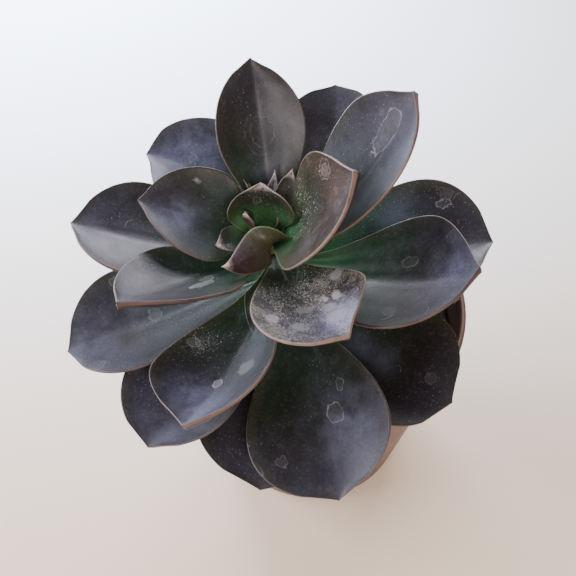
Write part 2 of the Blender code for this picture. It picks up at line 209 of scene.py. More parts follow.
# Dried drops: leaf, place to its left and along it in mm, half widths across and along,
# strength of the lime inside and in the outer line
DRIED_DROPS = [
    ("leaf_twisted_right", 8.0, 31.3, 2.0, 3.6, 0.00, 0.55),
    ("leaf_twisted_right", 8.0, 31.3, 1.2, 2.3, 0.15, 0.40),
    ("leaf_middle_back_right", 1.6, 46.0, 2.6, 6.2, 0.05, 0.50),
    ("leaf_middle_front", 0.5, 43.7, 1.0, 1.3, 0.35, 0.95),
    ("leaf_middle_front", -11.0, 33.5, 1.5, 1.3, 0.10, 0.45),
    ("leaf_middle_front", 6.5, 39.4, 2.4, 2.0, 0.40, 0.45),
    ("leaf_broad_front", 4.6, 44.1, 2.0, 2.5, 0.06, 0.55),
    ("leaf_broad_front", 7.6, 37.8, 1.0, 1.4, 0.05, 0.45),
    ("leaf_short_front", 10.3, 23.0, 1.8, 1.8, 0.85, 0.50),
    ("leaf_short_front", 7.0, 29.6, 1.3, 2.0, 1.00, 0.60),
    ("leaf_short_front", 4.3, 28.0, 0.7, 1.3, 0.95, 0.50),
    ("leaf_short_front", 3.6, 32.2, 1.5, 1.6, 0.60, 0.50),
    ("leaf_short_front", 2.8, 36.2, 2.2, 2.2, 0.50, 0.30),
    ("leaf_short_front", -1.2, 28.4, 2.4, 1.5, 0.45, 0.30),
    ("leaf_short_front", -9.8, 29.0, 1.7, 1.7, 0.85, 0.45),
    ("leaf_short_front", -5.8, 33.6, 1.6, 1.6, 0.55, 0.30),
    ("leaf_upright_back", -1.1, 33.4, 3.2, 3.8, 0.00, 0.22),
    ("leaf_upright_back", -0.6, 32.9, 4.6, 5.4, 0.00, 0.16),
    ("leaf_middle_right", 5.1, 38.0, 1.5, 2.2, 0.04, 0.35),
    ("leaf_outer_left", -0.3, 37.0, 2.0, 1.6, 0.10, 0.35),
    ("leaf_inner_left", -9.0, 24.0, 0.6, 0.7, 0.60, 0.40),
    ("leaf_inner_front_left", 3.6, 27.8, 1.2, 3.0, 0.35, 0.75),
    ("leaf_inner_front_left", 1.8, 25.0, 1.0, 1.8, 0.10, 0.45),
    ("leaf_outer_right", 12.0, 44.0, 1.2, 1.6, 0.05, 0.35),
]


def stem_line(height):
    climb = max(0.0, (height - SOIL_TOP) / LEAN_HEIGHT)
    return np.array((STEM_FOOT_X - LEAN_LEFT * climb ** LEAN_POWER, 0.0, height))


def smooth(low, high, value):
    share = np.clip((value - low) / (high - low), 0.0, 1.0)
    return share * share * (3 - 2 * share)


def add_piece(name, mesh):
    piece = bpy.data.objects.new(name, mesh)
    bpy.context.scene.collection.objects.link(piece)
    return piece


def finish_piece(piece, node=None):
    if node:
        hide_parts(node)
    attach(piece, BODY)


def outward(mesh):
    """Points every face outward."""
    work = bmesh.new()
    work.from_mesh(mesh)
    bmesh.ops.recalc_face_normals(work, faces=work.faces[:])
    work.to_mesh(mesh)
    work.free()
    mesh.shade_smooth()
    return mesh


def tube_faces(rows, count):
    """Faces of rings joined in a row, with a flat face at either end."""
    faces = [
        (row * count + i, row * count + (i + 1) % count,
         (row + 1) * count + (i + 1) % count, (row + 1) * count + i)
        for row in range(rows - 1) for i in range(count)
    ]
    faces.append(tuple(range(count))[::-1])
    faces.append(tuple((rows - 1) * count + i for i in range(count)))
    return faces


def settle(piece):
    """Turns a piece's modifiers into its plain mesh."""
    graph = bpy.context.evaluated_depsgraph_get()
    mesh = bpy.data.meshes.new_from_object(piece.evaluated_get(graph))
    piece.modifiers.clear()
    piece.data = mesh


# Leaves


def leaf_width(leaf, along):
    """Half width along the blade, 0 at the stem and 1 at the tip, by the rule of the solids."""
    grow = np.sin(np.clip(along / leaf.widest, 0, 1) * math.pi / 2) ** leaf.taper
    past = np.clip((along - leaf.widest) / (1 - leaf.widest), 0, 1)
    share = np.where(
        along < leaf.widest,
        leaf.base + (1 - leaf.base) * grow,
        (1 - past ** 2.2) ** leaf.apex,
    )
    return leaf.width * MM / 2 * share


def leaf_axes(leaf, along):
    """Unit vectors along the blade, to its left and out of its upper face, one row per place."""
    slope = np.radians(leaf.rise + leaf.curl * along ** 1.5)
    turn = np.radians(leaf.turn + leaf.bend * along ** 3)
    forward = np.stack(
        [np.cos(slope) * np.cos(turn), np.cos(slope) * np.sin(turn), np.sin(slope)], -1
    )
    level = np.stack([-np.sin(turn), np.cos(turn), 0 * turn], -1)
    upper = np.cross(forward, level)
    eased = np.clip(along / 0.4, 0, 1)
    roll = np.radians(leaf.roll) * eased * eased * (3 - 2 * eased)
    side = level * np.cos(roll)[:, None] + upper * np.sin(roll)[:, None]
    return forward, side, np.cross(forward, side)


def plan_shift(seed):
    """Where a leaf's flat plan lies, far from those of the others."""
    return 137.0 * seed, 61.0 * seed


def blade_mesh(leaf, foot, start, thick, grid, seed):
    """A fine leaf: the solid's form with a round margin, a mid crease, a keel and a true point."""
    rows, columns = grid
    length = leaf.length * MM
    steps = np.linspace(0, 1, 241)
    forward, _, _ = leaf_axes(leaf, (steps[1:] + steps[:-1]) / 2)
    line = np.vstack([[0, 0, 0], np.cumsum(forward, 0) * length / 240]) + foot
    first = start / length
    along = 1 - (1 - first) * (1 - np.linspace(0, 1, rows + 1)) ** 1.8
    point = np.concatenate([np.zeros(rows + 1), np.linspace(0, 1, POINT_ROWS + 1)[1:]])
    along = np.concatenate([along, np.ones(POINT_ROWS)])
    centre = np.stack([np.interp(along, steps, line[:, k]) for k in range(3)], -1)
    forward, side, upper = leaf_axes(leaf, along)
    centre = centre + forward * (point * POINT_LENGTH)[:, None]

    # The blunt end of the solid is drawn out to a point over the last millimetres
    left = (1 - along) * length + (1 - point) * POINT_LENGTH
    draw = min(POINT_DRAW, length * 0.12) + POINT_LENGTH
    shoulder = leaf_width(leaf, np.array([1 - (draw - POINT_LENGTH) / length]))[0]
    half = np.maximum(leaf_width(leaf, along), TIP_HALF_WIDTH)
    half = np.where(left < draw, shoulder * (left / draw) ** 1.1, half)
    half = np.maximum(half, 0.12 * MM)
    margin = MARGIN_THICK * (1 - 0.7 * point)
    body = thick * (1 - 0.42 * (1 - along) ** 4 - 0.25 * along ** 3)
    body = np.maximum(body * (1 - 0.8 * point), margin)

    u = np.linspace(-1, 1, columns + 1)
    v = np.sign(u) * (1 - (1 - np.abs(u)) ** 1.7)
    big, size = half[:, None], np.abs(v)[None, :]
    lateral = big * v * (1 - 0.25 * leaf.cup * size)
    folded = np.sqrt(size ** 2 + 0.04) - 0.2
    lift = big * leaf.cup * ((1 - FOLD_SHARE) * size ** 1.7 + FOLD_SHARE * folded)
    whole = margin[:, None] + (body - margin)[:, None] * (1 - size ** 1.6)
    round_at = 1 - np.minimum(0.9, margin[:, None] / 2 / big)
    over = np.clip((size - round_at) / (1 - round_at), 0, 1)
    deep = whole * np.sqrt(np.maximum(1 - over ** 2, 0.0))
    middle = lift - whole / 2

    skin = SKINS[leaf.name]
    phase = seed * 2.399
    reach = (smooth(0.12, 0.45, along) * (1 - smooth(0.86, 0.99, along)))[:, None]
    wave = np.sin(2 * math.pi * 1.1 * along + phase)[:, None] * np.sin(1.7 * v + 2 * phase)[None, :]
    small = np.sin(2 * math.pi * 2.7 * along + 3 * phase)[:, None] * np.sin(3.1 * v + phase)[None, :]
    middle = middle + RIPPLE * reach * (wave + 0.6 * small)
    crease = CREASE_DEPTH * np.exp(-(v / 0.06) ** 2)[None, :] * smooth(0.03, 0.3, along)[:, None]
    crease = crease * (1 - smooth(0.80, 0.98, along))[:, None]
    fading = (smooth(0.06, 0.22, along) * (1 - smooth(0.35, 0.85, along)))[:, None]
    for place, deep_share, wide in ((-0.50, 0.8, 0.13), (0.30, 1.0, 0.11), (0.64, 0.5, 0.10)):
        drift = place + 0.10 * math.sin(phase + 9 * place) * along[:, None]
        crease = crease + FURROW_DEPTH * skin.fold * deep_share * fading * np.exp(-((v[None, :] - drift) / wide) ** 2)
    keel = KEEL_DEPTH * np.exp(-(v / 0.16) ** 2)[None, :] * smooth(0.35, 0.95, along)[:, None]
    keel = keel * (1 - smooth(0.92, 1.0, along))[:, None]
    spot = centre[:, None, :] + side[:, None, :] * lateral[..., None]
    top = spot + upper[:, None, :] * (middle + deep / 2 - crease)[..., None]
    low = spot + upper[:, None, :] * (middle - deep / 2 - keel)[..., None]
    ring = np.concatenate([top, low[:, -2:0:-1]], 1)

    # Rows that would stand in the stem's sleeve are left off
    axis = np.array([[stem_line(z)[0] for z in row] for row in ring[:12, :, 2]])
    away = np.hypot(ring[:12, :, 0] - axis, ring[:12, :, 1]).min(1)
    skip = 0
    if leaf.name.startswith("leaf"):
        skip = int(np.argmax(away > SLEEVE_RADIUS))
    total, count = ring.shape[0] - skip, ring.shape[1]
    across = np.concatenate([v, v[-2:0:-1]])
    under = np.concatenate([np.zeros(columns + 1), np.ones(columns - 1)])
    under[0] = under[columns] = 0.5
    to_side = (1 - np.abs(across))[None, :] * half[:, None]
    rim = np.minimum(to_side, left[:, None]) / MM
    values = {
        "along": np.repeat(along[:, None], count, 1),
        "rim": rim,
        "under": np.repeat(under[None, :], ring.shape[0], 0),
        "young": np.full(rim.shape, float(not leaf.name.startswith("leaf"))),
    }
    for layer in ("green", "bloom", "crust", "brown", "edge"):
        values[layer] = np.full(rim.shape, getattr(skin, layer))
    sideways = across[None, :] * half[:, None] / MM
    outward_mm = np.repeat((along * leaf.length)[:, None], count, 1)
    for layer, place, far, wide, more in PATCHES.get(leaf.name, []):
        near = np.exp(-((sideways - place) ** 2 + (outward_mm - far) ** 2) / wide ** 2)
        values[layer] = np.maximum(values[layer] + more * near, 0.0)
    shift = plan_shift(seed)
    flat = np.stack([
        sideways + shift[0],
        outward_mm + shift[1],
        np.repeat(under[None, :], ring.shape[0], 0) * 30.0,
    ], -1)
    mesh = bpy.data.meshes.new(leaf.name)
    mesh.from_pydata(ring[skip:].reshape(-1, 3).tolist(), [], tube_faces(total, count))
    for name, value in values.items():
        layer = mesh.attributes.new(name, "FLOAT", "POINT")
        layer.data.foreach_set("value", value[skip:].astype(np.float32).ravel())
    layer = mesh.attributes.new("flat", "FLOAT_VECTOR", "POINT")
    layer.data.foreach_set("vector", flat[skip:].astype(np.float32).ravel())
    return outward(mesh)


def make_leaves(skin_material):
    for number, leaf in enumerate(ROSETTE):
        foot = stem_line(leaf.height * MM)
        mesh = blade_mesh(leaf, foot, LEAF_START, LEAF_THICK, LEAF_GRID, number + 1)
        mesh.materials.append(skin_material)
        finish_piece(add_piece(leaf.name + "_fine", mesh), leaf.name)


def make_heart(skin_material):
    """The young leaves on their dome, one mesh of closed shells."""
    whole = bmesh.new()
    for number, leaf in enumerate(HEART):
        right, back = FOOT_SHIFT.get(leaf.name, (0.0, 0.0))
        foot = stem_line(leaf.height * MM) + np.array((right * MM, back * MM, 0.0))
        climb = math.sin(math.radians(max(leaf.rise, 20)))
        start = max(YOUNG_START, (STEM_TOP + GAP - foot[2]) / climb)
        mesh = blade_mesh(leaf, foot, start, YOUNG_THICK, YOUNG_GRID, number + 31)
        whole.from_mesh(mesh)
        bpy.data.meshes.remove(mesh)
    dome = bmesh.new()
    bmesh.ops.create_uvsphere(dome, u_segments=32, v_segments=18, radius=HEART_RADIUS)
    middle = Vector(stem_line(STEM_TOP + GAP))
    for vertex in dome.verts:
        vertex.co.z = max(vertex.co.z, 0.0) * HEART_RISE / HEART_RADIUS
        vertex.co += middle
    dome_mesh = bpy.data.meshes.new("heart_dome")
    dome.to_mesh(dome_mesh)
    dome.free()
    count = len(dome_mesh.vertices)
    levels = {"rim": 5.0, "green": 0.8, "young": 1.0, "along": 0.2}
    for name in ("along", "rim", "under", "green", "bloom", "crust", "brown", "edge", "young"):
        layer = dome_mesh.attributes.new(name, "FLOAT", "POINT")
        layer.data.foreach_set("value", np.full(count, levels.get(name, 0.0), np.float32))
    layer = dome_mesh.attributes.new("flat", "FLOAT_VECTOR", "POINT")
    layer.data.foreach_set("vector", np.zeros(count * 3, np.float32))
    whole.from_mesh(dome_mesh)
    mesh = bpy.data.meshes.new("heart_fine")
    whole.to_mesh(mesh)
    whole.free()
    mesh.shade_smooth()
    mesh.materials.append(skin_material)
    finish_piece(add_piece("heart_fine", mesh), "heart")


# Materials


def linear(code):
    """An sRGB hex colour as linear red, green, blue, alpha."""
    parts = [int(code[i:i + 2], 16) / 255 for i in (1, 3, 5)]
    return [p / 12.92 if p <= 0.04045 else ((p + 0.055) / 1.055) ** 2.4 for p in parts] + [1.0]


def put(tree, kind, inputs=None, **settings):
    """Adds a node, sets its settings, and fills each input with a value or a link."""
    node = tree.nodes.new(kind)
    for name, value in settings.items():
        setattr(node, name, value)
    for name, value in (inputs or {}).items():
        socket = node.inputs[name]
        if isinstance(value, bpy.types.NodeSocket):
            tree.links.new(value, socket)
        else:
            socket.default_value = linear(value) if isinstance(value, str) else value
    return node


def maths(tree, operation, first, second=0.0, third=0.0, clamp=False):
    return put(
        tree, "ShaderNodeMath", {0: first, 1: second, 2: third}, operation=operation, use_clamp=clamp
    ).outputs[0]


def between(tree, value, low, high, start=0.0, end=1.0):
    """Smooth step of a value from low to high, giving start to end."""
    return put(
        tree, "ShaderNodeMapRange",
        {"Value": value, "From Min": low, "From Max": high, "To Min": start, "To Max": end},
        interpolation_type="SMOOTHSTEP",
    ).outputs["Result"]


def blend(tree, share, first, second):
    return put(tree, "ShaderNodeMix", {0: share, 6: first, 7: second}, data_type="RGBA").outputs[2]


def own(tree, name):
    """A value that the mesh carries."""
    return put(tree, "ShaderNodeAttribute", None, attribute_name=name).outputs["Fac"]


def new_material(name):
    material = bpy.data.materials.new(name)
    material.use_nodes = True
    tree = material.node_tree
    return material, tree, tree.nodes["Principled BSDF"]


def waxy_leaf_skin():
    """Echeveria epidermis under farina, its natural wax: olive black turning purple at the tip
    and green at the base, a lavender veil that is partly wax and partly painted sheen, thin red-brown margin, dust
    and tide lines."""
    material, tree, shader = new_material("waxy_leaf_skin")
    place = put(tree, "ShaderNodeTexCoord").outputs["Object"]
    flat = put(tree, "ShaderNodeAttribute", None, attribute_name="flat").outputs["Vector"]
    along, rim, under = own(tree, "along"), own(tree, "rim"), own(tree, "under")
    green, bloom, crust = own(tree, "green"), own(tree, "bloom"), own(tree, "crust")
    brown, young = own(tree, "brown"), own(tree, "young")

    def times(*values):
        result = values[0]
        for value in values[1:]:
            result = maths(tree, "MULTIPLY", result, value)
        return result

    def plus(first, second):
        return maths(tree, "ADD", first, second)

    def cloud(size_mm, seed, detail=3.0, rough=0.55):
        return put(
            tree, "ShaderNodeTexNoise",
            {"Vector": place, "W": seed, "Scale": 1000.0 / size_mm, "Detail": detail,
             "Roughness": rough},
            noise_dimensions="4D",
        ).outputs["Fac"]

    def drawn(size_mm, shift, detail=1.5):
        """Noise on the leaf's own flat plan, in millimetres."""
        moved = put(tree, "ShaderNodeVectorMath", {0: flat, 1: (shift, shift, 0.0)}).outputs[0]
        return put(
            tree, "ShaderNodeTexNoise",
            {"Vector": moved, "Scale": 1.0 / size_mm, "Detail": detail, "Roughness": 0.5},
            noise_dimensions="2D",
        ).outputs["Fac"]

    edge_pale = own(tree, "edge")
    broad, mottle = cloud(20, 0.0), cloud(5, 3.1, 4, 0.6)
    grain = cloud(0.8, 7.7, 3, 0.65)
    top = maths(tree, "SUBTRACT", 1.0, under, clamp=True)
    uneven = times(maths(tree, "SUBTRACT", mottle, 0.5), 0.5)

    # Pigment
    tipward = maths(tree, "ADD", between(tree, along, 0.30, 0.95), uneven, clamp=True)
    colour = blend(tree, tipward, "#171c0f", "#1f1719")
    tan = blend(tree, between(tree, brown, 0.5, 1.0), "#2a2116", "#4e3c2c")
    sun = times(brown, between(tree, plus(broad, uneven), 0.22, 0.55), 0.85)
    colour = blend(tree, sun, colour, tan)
    reach = maths(tree, "MULTIPLY_ADD", young, 0.25, 0.72)
    to_base = between(tree, maths(tree, "DIVIDE", along, reach), 1.2, 0.15)
    leafy = maths(tree, "ADD", times(green, to_base, plus(mottle, 0.60)), 0.0, clamp=True)
    colour = blend(tree, times(leafy, 0.95), colour, "#22402a")
    fresh_to = maths(tree, "MULTIPLY_ADD", young, 0.40, 0.42)
    fresh = between(tree, maths(tree, "DIVIDE", along, fresh_to), 1.0, 0.2)
    bright = maths(tree, "MULTIPLY", green, fresh, clamp=True)
    colour = blend(tree, times(bright, 0.8), colour, "#46804f")
    colour = blend(tree, times(between(tree, rim, 4.5, 0.8), 0.5), colour, "#373420")
    back = blend(tree, between(tree, mottle, 0.3, 0.7), "#291e20", "#3d2a2b")
    back = blend(tree, times(young, 0.8), back, "#33201e")
    back = blend(tree, times(bright, 0.8), back, "#66764a")
    colour = blend(tree, under, colour, back)

    # Wax with painted sheen in it: thickest away from the base, worn here and there, lighter on the upper face
    # towards the tip
    worn = between(tree, plus(times(broad, 0.6), times(mottle, 0.4)), 0.38, 0.60, 0.25, 1.0)
    wax_and_sheen_veil = times(bloom, worn, between(tree, along, 0.15, 0.6, 0.45, 1.0), 0.30)
    wax_and_sheen_veil = plus(wax_and_sheen_veil, times(between(tree, along, 0.75, 1.0), top, 0.08))
    wax_and_sheen_veil = maths(tree, "MULTIPLY", wax_and_sheen_veil, maths(tree, "MULTIPLY_ADD", under, -0.6, 1.0), clamp=True)
    # Painted sheen: this lavender grey is partly the wax's own colour and partly the window's reflection painted into
    # the colour
    colour = blend(tree, wax_and_sheen_veil, colour, "#757894")
    colour = blend(tree, times(between(tree, grain, 0.5, 0.8), 0.14), colour, "#8a8690")
    colour = blend(tree, times(between(tree, grain, 0.5, 0.25), 0.40), colour, "#14120f")

    # Lime and dust that water left behind
    def spots(cell_mm, seed):
        """Distance to a spot's middle in mm, and two random numbers for that spot."""
        shifted = put(tree, "ShaderNodeVectorMath", {0: flat, 1: (seed, 2 * seed, 0.0)}).outputs[0]
        cells = put(
            tree, "ShaderNodeTexVoronoi",
            {"Vector": shifted, "Scale": 1.0 / cell_mm, "Randomness": 1.0},
            voronoi_dimensions="2D",
        )
        parts = put(tree, "ShaderNodeSeparateColor", {"Color": cells.outputs["Color"]})
        return times(cells.outputs["Distance"], cell_mm), parts.outputs[0], parts.outputs[1]

    def specks(cell_mm, seed, size, keep):
        distance, pick, chance = spots(cell_mm, seed)
        wide = maths(tree, "MULTIPLY_ADD", pick, size, size * 0.5)
        dot = between(tree, maths(tree, "DIVIDE", distance, wide), 1.0, 0.4)
        return times(dot, between(tree, maths(tree, "SUBTRACT", chance, keep), 0.0, 0.3))

    warp = maths(tree, "SUBTRACT", drawn(1.6, 40.0, 3.0), 0.5)
    broken = between(tree, mottle, 0.40, 0.56, 0.35, 1.0)

    def dried_drop(beyond, fill, line):
        """Lime from one drop, by the distance beyond its outline in mm: thin inside, more on
        the broken outer line."""
        beyond = plus(beyond, times(warp, 1.7))
        inside = between(tree, beyond, 0.25, -0.50)
        outline = times(between(tree, maths(tree, "ABSOLUTE", beyond), 0.22, 0.03), broken)
        body = times(inside, maths(tree, "MULTIPLY_ADD", grain, 0.8, 0.6), fill)
        return maths(tree, "MAXIMUM", body, times(outline, line))

    numbers = {leaf.name: number + 1 for number, leaf in enumerate(ROSETTE)}
    scale = 0.0
    for name, place_mm, far, wide, deep, fill, line in DRIED_DROPS:
        shift = plan_shift(numbers[name])
        at = (-(place_mm + shift[0]) / wide, -(far + shift[1]) / deep, 0.0)
        moved = put(
            tree, "ShaderNodeVectorMath", {0: flat, 1: (1 / wide, 1 / deep, 0.1), 2: at},
            operation="MULTIPLY_ADD",
        ).outputs[0]
        far_off = put(tree, "ShaderNodeVectorMath", {0: moved}, operation="LENGTH").outputs["Value"]
        size = min(wide, deep)
        lime = dried_drop(maths(tree, "MULTIPLY_ADD", far_off, size, -size), fill, line)
        scale = maths(tree, "MAXIMUM", lime, scale)
    distance, pick, chance = spots(10.0, 3.7)
    beyond = maths(tree, "SUBTRACT", distance, maths(tree, "MULTIPLY_ADD", pick, 1.2, 0.6))
    chosen = between(tree, plus(chance, times(crust, 0.3)), 0.80, 0.90)
    scale = maths(tree, "MAXIMUM", scale, times(dried_drop(beyond, 0.05, 0.20), chosen))

    few = maths(tree, "MULTIPLY_ADD", crust, -1.05, 1.22)
    flecks = maths(tree, "MAXIMUM", specks(0.75, 2.3, 0.17, few), specks(0.45, 8.3, 0.11, few))
    clumps = between(tree, plus(times(mottle, 0.7), times(drawn(2.6, 71.0), 0.3)), 0.40, 0.56, 0.25, 1.0)
    flecks = times(flecks, between(tree, along, 0.10, 0.35), clumps)
    chalk = between(tree, plus(times(mottle, 0.55), times(grain, 0.45)), 0.47, 0.66)
    chalk = times(chalk, between(tree, crust, 0.45, 1.2), between(tree, along, 0.2, 0.6), 0.60)
    patchy = between(tree, plus(broad, times(crust, 0.12)), 0.44, 0.66, 0.0, 1.0)
    dust = maths(tree, "MAXIMUM", specks(0.9, 1.3, 0.12, 0.60), specks(3.6, 5.9, 0.15, 0.78))
    dust = maths(tree, "MAXIMUM", times(dust, patchy, 0.72), flecks)
    pale = maths(tree, "MAXIMUM", dust, maths(tree, "MAXIMUM", scale, chalk))
    pale = maths(tree, "MULTIPLY", pale, maths(tree, "MULTIPLY_ADD", top, 0.85, 0.15), clamp=True)
    lime = blend(tree, brown, "#a8a6a6", "#b5ad9f")
    lime = blend(tree, between(tree, scale, 0.15, 0.4), lime, "#a5a3a8")
    colour = blend(tree, times(pale, 0.85), colour, lime)

    # Margin: green by the stem, red brown or dry pink further out
    wide_edge = maths(tree, "MULTIPLY_ADD", edge_pale, 0.35, 0.34)
    wide_edge = times(wide_edge, maths(tree, "MULTIPLY_ADD", young, -0.45, 1.0))
    rind = times(between(tree, maths(tree, "DIVIDE", rim, wide_edge), 1.0, 0.3),
                 between(tree, mottle, 0.25, 0.6, 0.6, 1.0))
    skin_edge = blend(tree, between(tree, broad, 0.35, 0.62), "#3d2b29", "#574441")
    skin_edge = blend(tree, edge_pale, skin_edge, "#9a7f77")
    skin_edge = blend(tree, between(tree, along, 0.58, 0.30), skin_edge, "#5c6e46")
    colour = blend(tree, times(rind, 0.85), colour, skin_edge)
    dried = times(between(tree, along, 0.88, 0.99), young, between(tree, grain, 0.3, 0.55))
    colour = blend(tree, times(dried, 0.8), colour, "#b5a39b")
    tree.links.new(colour, shader.inputs["Base Color"])

    rough = between(tree, mottle, 0.3, 0.7, 0.32, 0.46)
    rough = maths(tree, "MULTIPLY_ADD", pale, 0.45, rough)
    rough = maths(tree, "MULTIPLY_ADD", under, 0.12, rough, clamp=True)
    tree.links.new(rough, shader.inputs["Roughness"])
    shader.inputs["IOR"].default_value = 1.40
    shader.inputs["Specular Tint"].default_value = linear("#ebe9fb")
    shader.inputs["Coat Weight"].default_value = 0.09
    shader.inputs["Coat Roughness"].default_value = 0.30
    shader.inputs["Sheen Weight"].default_value = 0.03
    shader.inputs["Sheen Roughness"].default_value = 0.40
    shader.inputs["Sheen Tint"].default_value = linear("#b4b8dc")

    relief = plus(times(grain, 0.16), times(mottle, 0.30))
    relief = maths(tree, "MULTIPLY_ADD", pale, 0.15, relief)
    bump = put(tree, "ShaderNodeBump", {"Height": relief, "Strength": 0.45, "Distance": 0.5 * MM})
    tree.links.new(bump.outputs["Normal"], shader.inputs["Normal"])
    return material


def noise_at(tree, place, scale, detail):
    return put(
        tree, "ShaderNodeTexNoise", {"Vector": place, "Scale": scale, "Detail": detail}
    ).outputs["Fac"]


def roughen(tree, shader, height, strength, distance):
    bump = put(tree, "ShaderNodeBump", {"Height": height, "Strength": strength, "Distance": distance})
    tree.links.new(bump.outputs["Normal"], shader.inputs["Normal"])


def moulded_pot_plastic():
    """Injection-moulded polypropylene in dull terracotta: a satin shine with fine grain, a painted
    highlight along the top of the lip, the upright marks of hard water, and painted shade on the inner wall below the
    lip."""
    material, tree, shader = new_material("moulded_pot_plastic")
    place = put(tree, "ShaderNodeTexCoord").outputs["Object"]
    height = put(tree, "ShaderNodeSeparateXYZ", {"Vector": place}).outputs["Z"]
    cloud, grain = noise_at(tree, place, 45.0, 4.0), noise_at(tree, place, 1400.0, 2.0)
    tall = put(tree, "ShaderNodeMapping", {"Vector": place, "Scale": (260.0, 260.0, 22.0)})
    streak = noise_at(tree, tall.outputs["Vector"], 1.0, 3.0)
    colour = blend(tree, between(tree, cloud, 0.35, 0.65), "#563b33", "#664439")
    marks = maths(tree, "MULTIPLY", between(tree, streak, 0.56, 0.72), between(tree, cloud, 0.4, 0.6))
    colour = blend(tree, maths(tree, "MULTIPLY", marks, 0.30), colour, "#907a70")
    # Painted highlight: the top millimetre of the lip is lightened towards grey, where the sky lights the rim
    lip_top_highlight = maths(tree, "MULTIPLY", between(tree, height, POT_HEIGHT - 1.0 * MM, POT_HEIGHT), 0.15)
    colour = blend(tree, lip_top_highlight, colour, "#84685d")
    level = put(tree, "ShaderNodeVectorMath", {0: place, 1: (1.0, 1.0, 0.0)}, operation="MULTIPLY")
    out = put(tree, "ShaderNodeVectorMath", {0: level.outputs[0]}, operation="LENGTH").outputs["Value"]
    lip_foot = POT_HEIGHT - LIP_HEIGHT
    slant = (RIM_RADIUS - LIP_TAPER - LIP_STEP - BASE_RADIUS) / lip_foot
    wall = maths(tree, "MULTIPLY_ADD", height, slant, BASE_RADIUS - 0.5 * MM)
    above = maths(tree, "GREATER_THAN", height, lip_foot)
    wall = maths(tree, "MULTIPLY_ADD", above, 0.8 * MM, wall)
    # Painted shade: the inner wall from just under the lip downward is darkened to near black, where the pot's own
    # shadow falls
    inside = between(tree, maths(tree, "SUBTRACT", out, wall), 0.05 * MM, -0.05 * MM)
    inner_wall_shade = maths(tree, "MULTIPLY", inside,
                 between(tree, height, POT_HEIGHT - 0.6 * MM, POT_HEIGHT - 3 * MM, 0.0, 0.85))
    colour = blend(tree, inner_wall_shade, colour, "#241a16")
    tree.links.new(colour, shader.inputs["Base Color"])
    rough = between(tree, cloud, 0.3, 0.7, 0.42, 0.55)
    tree.links.new(maths(tree, "MULTIPLY_ADD", marks, 0.2, rough), shader.inputs["Roughness"])
    shader.inputs["IOR"].default_value = 1.49
    roughen(tree, shader, grain, 0.25, 0.1 * MM)
    return material


def crumbly_compost():
    """Peat compost: nearly black, matt, with brown fibre crumbs."""
    material, tree, shader = new_material("crumbly_compost")
    place = put(tree, "ShaderNodeTexCoord").outputs["Object"]
    crumb = put(tree, "ShaderNodeTexVoronoi", {"Vector": place, "Scale": 700.0})
    tone = put(tree, "ShaderNodeSeparateColor", {"Color": crumb.outputs["Color"]}).outputs[0]
    fine = noise_at(tree, place, 900.0, 5.0)
    colour = blend(tree, tone, "#130e0b", "#2b1f17")
    colour = blend(tree, between(tree, fine, 0.60, 0.78), colour, "#4c3829")
    tree.links.new(colour, shader.inputs["Base Color"])
    shader.inputs["Roughness"].default_value = 0.92
    roughen(tree, shader, fine, 0.9, 0.6 * MM)
    return material


def pale_perlite():
    """Expanded volcanic glass in the compost: chalk-white, matt and pitted."""
    material, tree, shader = new_material("pale_perlite")
    place = put(tree, "ShaderNodeTexCoord").outputs["Object"]
    pit = noise_at(tree, place, 2500.0, 3.0)
    tree.links.new(blend(tree, pit, "#7d766c", "#bdb7ab"), shader.inputs["Base Color"])
    shader.inputs["Roughness"].default_value = 0.85
    roughen(tree, shader, pit, 0.6, 0.2 * MM)
    return material


def corky_stem_bark():
    """An old succulent stem: grey-brown cork with green showing towards the leaves."""
    material, tree, shader = new_material("corky_stem_bark")
    place = put(tree, "ShaderNodeTexCoord").outputs["Object"]
    height = put(tree, "ShaderNodeSeparateXYZ", {"Vector": place}).outputs["Z"]
    mottle = noise_at(tree, place, 300.0, 5.0)
    colour = blend(tree, between(tree, mottle, 0.35, 0.65), "#4b3c2c", "#7b6a50")
    fresh = maths(tree, "MULTIPLY", between(tree, height, 78 * MM, 98 * MM), 0.8)
    colour = blend(tree, fresh, colour, "#5d6a3d")
    tree.links.new(colour, shader.inputs["Base Color"])
    shader.inputs["Roughness"].default_value = 0.75
    roughen(tree, shader, mottle, 0.7, 0.4 * MM)
    return material


def matt_studio_paper():
    """The floor: pale paper, matt, with painted light: warmer and darker in front, whiter at the back."""
    material, tree, shader = new_material("matt_studio_paper")
    place = put(tree, "ShaderNodeTexCoord").outputs["Object"]
    depth = put(tree, "ShaderNodeSeparateXYZ", {"Vector": place}).outputs["Y"]
    # Painted light: the paper whitens towards the back and warms and darkens towards the front, as the window's light
    # falls off across the floor
    tone = blend(tree, between(tree, depth, -0.10, 0.22), "#f2d8c0", "#fffdfb")
    tree.links.new(tone, shader.inputs["Base Color"])
    shader.inputs["Roughness"].default_value = 0.9
    shader.inputs["Specular IOR Level"].default_value = 0.2
    return material


# Pot, stem and soil


def arc(centre, radius, start, end, steps):
    """Points of a small rounding in the pot's section; angles in degrees."""
    turns = [math.radians(start + (end - start) * i / steps) for i in range(steps + 1)]
    return [(centre[0] + radius * math.cos(t), centre[1] + radius * math.sin(t)) for t in turns]


